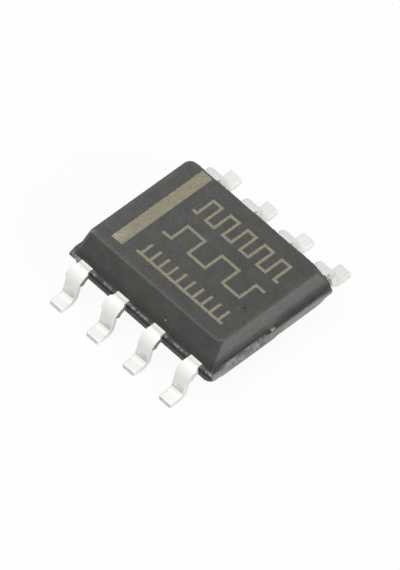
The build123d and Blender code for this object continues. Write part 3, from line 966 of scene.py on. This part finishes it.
def lead_segments(start, leads, shoulder_end):
    """Length and turn of each stretch of a lead's middle line, from its inner end to where its foot is level.

    The finger and shoulder run level, the upper knee is an arc down, the leg is straight, and the lower bend
    is a short sharp arc and a wider one back to level.
    """
    half = leads.thickness / 2
    turn = math.pi / 2 - leads.lean
    radius = leads.bend_radius + half
    heel = leads.heel_radius + half
    knee = shoulder_end + half * math.tan(leads.lean) - half / math.cos(leads.lean)
    leg = (FRAME_TOP - leads.thickness) / math.cos(leads.lean) - (radius + heel) * math.tan(turn / 2)
    rest = turn - leads.crease_turn
    low_drop = heel * (1 - math.cos(turn)) - leads.crease_radius * (math.cos(rest) - math.cos(turn))
    low_radius = low_drop / (1 - math.cos(rest))
    return (
        (knee - radius * math.tan(turn / 2) - start, 0),
        (radius * turn, turn),
        (leg, 0),
        (leads.crease_radius * leads.crease_turn, -leads.crease_turn),
        (low_radius * rest, -rest),
    )


def lead_line(run, start, segments, thickness):
    """Outward distance, height and slope below level of a lead's middle line, by its length along the strip.

    Each stretch adds a straight step along its slope, or an arc of its length over its turn. The last stretch
    goes on straight.
    """
    outward = np.full(len(run), start)
    height = np.full(len(run), FRAME_TOP - thickness / 2)
    slope = np.zeros(len(run))
    passed = 0
    reached = 0
    for length, turn in segments:
        part = np.clip(run - passed, 0, length)
        bent = reached + turn * part / length
        if turn:
            radius = length / turn
            outward = outward + radius * (np.sin(bent) - math.sin(reached))
            height = height - radius * (math.cos(reached) - np.cos(bent))
        else:
            outward = outward + part * math.cos(reached)
            height = height - part * math.sin(reached)
        slope = slope + turn * part / length
        passed = passed + length
        reached = reached + turn
    return outward + np.maximum(run - passed, 0), height, slope


def lead_ring():
    """Signs and directions round a rounded rectangle, counter-clockwise: a corner, then the flat after it."""
    corner_count = 5
    flat_count = 9
    quarter = 90
    signs = np.array([[1, -1], [1, 1], [-1, 1], [-1, -1]])
    next_signs = np.roll(signs, -1, axis=0)
    flat_shares = (np.arange(1, flat_count + 1) / (flat_count + 1))[:, None]
    places = []
    directions = []
    for number, (sign, next_sign) in enumerate(zip(signs, next_signs)):
        angle = np.radians(np.linspace(-quarter, 0, corner_count) + quarter * number)
        places.append(np.repeat(sign[None], corner_count, axis=0))
        directions.append(np.stack([np.cos(angle), np.sin(angle)], -1))
        places.append(sign + (next_sign - sign) * flat_shares)
        directions.append(np.repeat(directions[-1][-1:], flat_count, axis=0))
    return np.concatenate(places), np.concatenate(directions)


def lead_stops(number, leads, side):
    """Places along one lead's strip from its inner end, with the stretches of its middle line.

    A corner finger slants from jog to lock, the neck leaves the body's side, the dam bar's stub goes round
    the knee, and the crease comes before the foot. The back row's knees are drawn in, and its tips lie
    further out. The last value is how near the lead comes to the middle of its row.
    """
    step = 0.004 * MM
    taper = 0.04 * MM
    low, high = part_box(f"lead_{number}")
    front = number <= ROW
    start = -high.y if front else low.y
    lock = side - leads.finger_lock - start
    neck = side - start
    stub_start = neck + leads.dam_start
    shoulder_end = side + leads.shoulder - (0 if front else leads.back_draw)
    tip_reach = (0 if front else leads.back_reach) - LEAD_LOW.y
    segments = lead_segments(start, leads, shoulder_end)
    knee_start, knee_end, crease, _, foot = np.cumsum([length for length, _ in segments])
    stub_end = knee_start + (leads.bend_radius + leads.thickness / 2) * leads.dam_turn
    foot_reach = lead_line(np.array([foot]), start, segments, leads.thickness)[0][0]
    return SimpleNamespace(
        start=start,
        segments=segments,
        jog=lock - leads.finger_jog,
        lock=lock,
        lock_end=lock + step,
        neck_start=neck - step,
        neck_line=neck + leads.neck_line,
        stub_start=stub_start,
        stub_full=stub_start + leads.dam_bevel,
        stub_end=stub_end,
        stub_gone=stub_end + taper,
        knee_start=knee_start,
        knee_end=knee_end,
        crease=crease,
        foot=foot,
        end=foot + tip_reach - foot_reach,
        inner_x=min(abs(low.x), abs(high.x)),
    )


def lead_run(stops, leads):
    """Places of a lead's rings along its strip, closest at the bends, the pressed lines and the two ends."""
    line_reach, line_count = 3, 9
    tip_count = 5
    decimals = 9
    # Each stretch has its start, its end and its number of rings.
    stretches = (
        (stops.jog, stops.lock, 7),
        (stops.lock, stops.lock_end, 2),
        (stops.neck_start, stops.stub_start, 13),
        (stops.stub_start, stops.stub_full, 5),
        (stops.knee_start, stops.knee_end, 25),
        (stops.stub_end, stops.stub_gone, 5),
        (stops.knee_end, stops.crease, 24),
        (stops.crease, stops.foot, 25),
        (stops.foot, stops.end - leads.tip_radius, 10),
    )
    rounding = leads.tip_radius * (1 - np.cos(np.linspace(0, math.pi / 2, tip_count)))
    across_line = np.linspace(-line_reach, line_reach, line_count) * leads.line_width
    places = [np.linspace(*stretch) for stretch in stretches]
    places = places + [stops.neck_line + across_line, stops.crease + across_line]
    return np.unique(np.round(np.concatenate([*places, rounding, stops.end - rounding]), decimals))


def lead_widths(number, run, stops, leads):
    """Middle and half width of one lead at each ring, and how much of the dam bar's stub is there.

    The finger is straight, or slants to a land in a corner lead. Leads 3 and 4 have hardly any stub on one
    side.
    """
    left_stub_shares = (1, 1, 0.1, 0.1, 1, 1, 1, 1)
    place = LEAD_PLACES[(number - 1) % ROW]
    stub = np.interp(run, (stops.stub_start, stops.stub_full, stops.stub_end, stops.stub_gone), (0, 1, 1, 0))
    stub_width = leads.dam_width - leads.width
    middle = stub * (1 - left_stub_shares[number - 1]) * stub_width / 4
    half_width = leads.width / 2 + stub * stub_width / 2 - middle
    if number % ROW in (0, 1):
        slant = (stops.jog, stops.lock)
        land = abs(place) - stops.inner_x - leads.land_width / 2
        middle = middle - math.copysign(1, place) * np.interp(run, slant, (land, 0))
        half_width = half_width + np.interp(run, slant, ((leads.land_width - leads.width) / 2, 0))
    else:
        finger = (leads.finger_width - leads.width) / 2
        half_width = half_width + np.interp(run, (stops.lock, stops.lock_end), (finger, 0))
    return place + middle, half_width, stub


def lead_points(number, leads, side):
    """One lead as rings along its middle line, from its inner finger to its tip, each a rounded rectangle.

    The punch rolled its edges, less so on the cut stub, and both ends are rounded off. Two fine lines are
    pressed into the top side, darkened with painted shade. The back row is made as the front one and turned
    half round.
    """
    neck_shade_share, line_shade_share = 0.4, 0.75
    upward_share = 0.3
    stops = lead_stops(number, leads, side)
    run = lead_run(stops, leads)
    outward, height, slope = lead_line(run, stops.start, stops.segments, leads.thickness)
    middle, half_width, stub = lead_widths(number, run, stops, leads)
    tip = leads.tip_radius
    from_end = np.minimum(run, stops.end - run)
    inset = tip - np.sqrt(np.maximum(tip**2 - np.maximum(tip - from_end, 0) ** 2, 0))
    edge = leads.edge_radius * (1 - stub * (1 - leads.cut_edge_share))
    places, directions = lead_ring()
    across = places[:, 0] * (half_width - inset - edge)[:, None] + directions[:, 0] * edge[:, None]
    through = places[:, 1] * (leads.thickness / 2 - inset - edge)[:, None] + directions[:, 1] * edge[:, None]
    neck_line = bell(run, stops.neck_line, leads.line_width)
    crease = bell(run, stops.crease, leads.line_width)
    lines = leads.neck_depth * neck_line + leads.crease_depth * crease
    through = through - lines[:, None] * np.clip(directions[:, 1], 0, 1)
    x = middle[:, None] - across
    y = -(outward[:, None] + through * np.sin(slope)[:, None])
    z = height[:, None] + through * np.cos(slope)[:, None]
    rings = np.stack([x, y, z], -1)
    points = np.concatenate([rings.reshape(-1, 3), rings[[0, -1]].mean(axis=1)])
    if number > ROW:
        points = points * np.array([-1, -1, 1])
    bare, film = lead_masks(number, run, stops, across / half_width[:, None], directions)
    # Painted shade in the two pressed lines.
    pressed = line_shade_share * (crease + neck_shade_share * neck_line)[:, None]
    film = np.maximum(film, np.append(pressed * (directions[:, 1] > upward_share), (0, 0)))
    return points, tube_faces(*rings.shape[:2]), bare, film


def lead_masks(number, run, stops, across_shares, directions):
    """Bare alloy, and film with painted shade, on one lead, one value for each point.

    The stub's cut sides and the tip are bare. Film covers the stub's cut sides, one half of the leg above the
    crease, and the leg and foot faintly. Film with painted shade covers the other sides thinly, and painted
    shade covers the whole lead in the back row.
    """
    cut_film_shares = (1, 1, 1, 0.14, 0.11, 0.06, 0.06, 0.06)
    cut_bare_shares = (0.20, 0.30, 0.15, 0.20, 0.28, 0, 0.04, 0)
    side_film_and_shade_shares = (0.05, 0, 0.10, 0.36, 0.32, 0.08, 0.08, 0.06)
    foot_film_and_shade_shares = (0.01, 0.01, 0.01, 0.01, 0.28, 0.16, 0.16, 0.16)
    tip_bare_share = 0.33
    back_row_shade_share = 0.22
    bend_film_share = 0.06
    leg_film_share = 0.05
    patch_share = 0.34
    sideways_share, upward_share = 0.6, 0.7
    patch_side_shares = (-0.9, 0.6)
    fade = 0.04 * MM
    cut_fade = 0.03 * MM
    bend_middle = 0.10 * MM
    bend_reach = 0.08 * MM
    film_above = 0.09 * MM
    film_reach = 0.11 * MM
    knee_fade = 0.15 * MM
    sides = np.abs(directions[:, 0]) > sideways_share
    top_side = directions[:, 1] > upward_share
    cut = soft_step(run, stops.stub_start - fade, stops.stub_start)
    cut = cut * (1 - soft_step(run, stops.stub_end, stops.stub_end + cut_fade))
    cut = cut[:, None] * sides
    bare = cut_bare_shares[number - 1] * cut
    bare[-1] = tip_bare_share
    on_leg = bell(run, stops.crease - film_above, film_reach) * (run < stops.crease)
    patch = on_leg[:, None] * soft_step(-across_shares, *patch_side_shares) * top_side
    on_foot = soft_step(run, stops.crease, stops.crease + fade)[:, None]
    on_bend = bell(run, stops.crease + bend_middle, bend_reach)[:, None]
    below_knee = soft_step(run, stops.stub_end - knee_fade, stops.stub_end)[:, None]
    # Painted shade over the whole of each back row lead; faint film on the front row's legs.
    upper_film_and_shade = back_row_shade_share if number > ROW else leg_film_share * below_knee
    foot_film_and_shade = foot_film_and_shade_shares[number - 1] + bend_film_share * on_bend
    dulled_and_shaded = on_foot * foot_film_and_shade + (1 - on_foot) * upper_film_and_shade
    dulled_and_shaded = np.broadcast_to(dulled_and_shaded, cut.shape)
    # Film and painted shade on the leads' sides.
    side_film_and_shade = np.broadcast_to(side_film_and_shade_shares[number - 1] * sides, cut.shape)
    film = np.maximum.reduce([cut_film_shares[number - 1] * cut, patch_share * patch, side_film_and_shade, dulled_and_shaded])
    return np.append(bare, (0, tip_bare_share)), np.append(film, (0, 0))


class TIMER_CHIP_OT_moulding(bpy.types.Operator):
    """Make the resin moulding with its marks, flange, gate break and ejector mark"""

    bl_idname = "timer_chip.moulding"
    bl_label = "Moulding"

    def execute(self, context):
        moulding = context.scene.timer_chip_moulding
        points, faces, pale, dark = moulding_points(moulding, context.scene.timer_chip_leads)
        material = resin_material(moulding, context.scene.timer_chip_marking)
        piece = put_piece("resin_moulding", points, faces, material, SHARP_EDGE)
        set_mask(piece, "pale", pale)
        set_mask(piece, "dark", dark)
        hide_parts("moulded_body")
        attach(piece, "root")
        return {"FINISHED"}


class TIMER_CHIP_OT_leads(bpy.types.Operator):
    """Make the eight formed and tinned leads"""

    bl_idname = "timer_chip.leads"
    bl_label = "Leads"

    def execute(self, context):
        leads = context.scene.timer_chip_leads
        side = context.scene.timer_chip_moulding.body_width / 2
        material = tin_material(leads)
        for number in range(1, LEADS + 1):
            points, faces, bare, film = lead_points(number, leads, side)
            piece = put_piece(f"formed_lead_{number}", points, faces, material, SHARP_EDGE)
            set_mask(piece, "bare", bare)
            set_mask(piece, "film", film)
            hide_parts(f"lead_{number}")
            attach(piece, "root")
        return {"FINISHED"}


class TIMER_CHIP_OT_inside(bpy.types.Operator):
    """Finish the die pad, the attach layer, the die and the bond wires"""

    bl_idname = "timer_chip.inside"
    bl_label = "Inner pieces"

    def execute(self, context):
        inner = context.scene.timer_chip_inside
        finishes = {
            "die_pad": copper_material(inner),
            "die_attach": paste_material(inner),
            "timer_die": silicon_material(inner),
        }
        gold = gold_material(inner)
        finishes.update({f"bond_wire_{number}": gold for number in range(1, LEADS + 1)})
        for node, material in finishes.items():
            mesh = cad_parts[node].data
            mesh.materials.clear()
            mesh.materials.append(material)
        return {"FINISHED"}


class TIMER_CHIP_OT_stage(bpy.types.Operator):
    """Set the floor, the soft light and the camera"""

    bl_idname = "timer_chip.stage"
    bl_label = "Stage"

    def execute(self, context):
        stage = context.scene.timer_chip_stage
        lay_floor(stage)
        light_room(context.scene, stage)
        hang_lamps(context.scene, stage)
        aim_camera(context.scene, stage)
        return {"FINISHED"}


def seen_ray(tree):
    """One for rays from the camera or from a glossy or clear surface, nought for the others."""
    path = place_node(tree, "ShaderNodeLightPath").outputs
    mirror = maths(tree, "MAXIMUM", path["Is Glossy Ray"], path["Is Transmission Ray"])
    return maths(tree, "MAXIMUM", path["Is Camera Ray"], mirror)


def lay_floor(stage):
    """A square of pale floor that shows mostly as plain white and keeps a faint shadow."""
    grain_scale = 4 / MM
    roughness = 0.9
    half = stage.floor_side / 2
    corners = np.array([[-half, -half, 0], [half, -half, 0], [half, half, 0], [-half, half, 0]])
    material, tree, shader, where, _ = new_material("floor")
    grain = use_grain(tree, where, grain_scale)
    base = blend_colours(tree, grain["Mottle"], stage.floor_worn, stage.floor)
    tree.links.new(base, shader.inputs["Base Color"])
    shader.inputs["Roughness"].default_value = roughness
    shader.inputs["Specular IOR Level"].default_value = 0
    white = place_node(tree, "ShaderNodeEmission", {"Strength": 1})
    glow = product(tree, seen_ray(tree), stage.floor_glow)
    shown = place_node(tree, "ShaderNodeMixShader", {0: glow, 1: shader.outputs[0], 2: white.outputs[0]})
    below = place_node(tree, "ShaderNodeNewGeometry").outputs["Backfacing"]
    clear = place_node(tree, "ShaderNodeBsdfTransparent")
    sided = place_node(tree, "ShaderNodeMixShader", {0: below, 1: shown.outputs[0], 2: clear.outputs[0]})
    tree.links.new(sided.outputs[0], tree.nodes["Material Output"].inputs["Surface"])
    floor = put_piece("floor", corners, [np.array([[0, 1, 2, 3]])], material, math.pi)


def light_room(scene, stage):
    """Even white light all round, shown as plain white to the camera and in reflections."""
    world = bpy.data.worlds.new("room")
    world.use_nodes = True
    tree = world.node_tree
    strength = vary(tree, seen_ray(tree), stage.room_light, 1)
    tree.links.new(strength, tree.nodes["Background"].inputs["Strength"])
    tree.nodes["Background"].inputs["Color"].default_value = (1, 1, 1, 1)
    scene.world = world


def toward(azimuth, elevation):
    """Unit vector from the chip to a place at an azimuth from the front and an elevation."""
    flat = math.cos(elevation)
    return Vector((math.sin(azimuth) * flat, -math.cos(azimuth) * flat, math.sin(elevation)))


def hang_lamps(scene, stage):
    """A soft lamp on the gate end and one overhead, both turned to the chip."""
    lamps = (
        ("end_lamp", toward(stage.end_azimuth, stage.end_elevation), stage.end_power),
        ("high_lamp", toward(stage.high_azimuth, stage.high_elevation), stage.high_power),
    )
    for name, back, power in lamps:
        light = bpy.data.lights.new(name, "AREA")
        light.energy = power
        light.size = stage.lamp_side
        lamp = bpy.data.objects.new(name, light)
        lamp.location = back * stage.lamp_distance
        lamp.rotation_euler = back.to_track_quat("Z", "Y").to_euler()
        scene.collection.objects.link(lamp)


def aim_camera(scene, stage):
    """A long lens on the middle of the chip's height, turned, rolled and slid to the photograph's framing."""
    clip_span = 10
    target = Vector((0, 0, BODY_HIGH.z / 2))
    back = toward(stage.azimuth, stage.elevation)
    right = Vector((math.cos(stage.azimuth), math.sin(stage.azimuth), 0))
    up = back.cross(right)
    rolled_right = math.cos(stage.roll) * right + math.sin(stage.roll) * up
    rolled_up = math.cos(stage.roll) * up - math.sin(stage.roll) * right
    data = bpy.data.cameras.new("camera")
    data.lens = stage.lens
    data.clip_start = stage.distance / clip_span
    data.clip_end = stage.distance * clip_span
    camera = bpy.data.objects.new("camera", data)
    place = target + back * stage.distance + rolled_right * stage.slide_right + rolled_up * stage.slide_up
    turned = Matrix((rolled_right, rolled_up, back)).transposed()
    camera.matrix_world = Matrix.LocRotScale(place, turned, None)
    scene.collection.objects.link(camera)
    scene.camera = camera
    scene.view_settings.view_transform = "Standard"


class TIMER_CHIP_PT_pieces(bpy.types.Panel):
    """The chip's pieces and their settings"""

    bl_idname = "TIMER_CHIP_PT_pieces"
    bl_label = "Timer chip"
    bl_space_type = "VIEW_3D"
    bl_region_type = "UI"
    bl_category = "Timer chip"

    def draw(self, context):
        for operator in OPERATORS:
            self.layout.operator(operator.bl_idname)
        for name, group in SETTINGS.items():
            box = self.layout.box()
            box.label(text=group.__doc__)
            for setting in group.__annotations__:
                box.prop(getattr(context.scene, name), setting)


SETTINGS = {
    "timer_chip_moulding": MouldingSettings,
    "timer_chip_marking": MarkingSettings,
    "timer_chip_leads": LeadSettings,
    "timer_chip_inside": InnerSettings,
    "timer_chip_stage": StageSettings,
}
OPERATORS = (
    TIMER_CHIP_OT_moulding,
    TIMER_CHIP_OT_leads,
    TIMER_CHIP_OT_inside,
    TIMER_CHIP_OT_stage,
)


def register():
    """Registers the settings, the operators and the panel, and hangs the settings on the scene."""
    for group in (*SETTINGS.values(), *OPERATORS, TIMER_CHIP_PT_pieces):
        bpy.utils.register_class(group)
    for name, group in SETTINGS.items():
        setattr(bpy.types.Scene, name, PointerProperty(type=group))


def unregister():
    """Takes away what register put in place, in the opposite order."""
    for name in SETTINGS:
        delattr(bpy.types.Scene, name)
    for group in (TIMER_CHIP_PT_pieces, *OPERATORS, *SETTINGS.values()):
        bpy.utils.unregister_class(group)


def main():
    """Makes every piece and the stage."""
    register()
    bpy.ops.timer_chip.moulding()
    bpy.ops.timer_chip.leads()
    bpy.ops.timer_chip.inside()
    bpy.ops.timer_chip.stage()


if __name__ == "__main__":
    main()
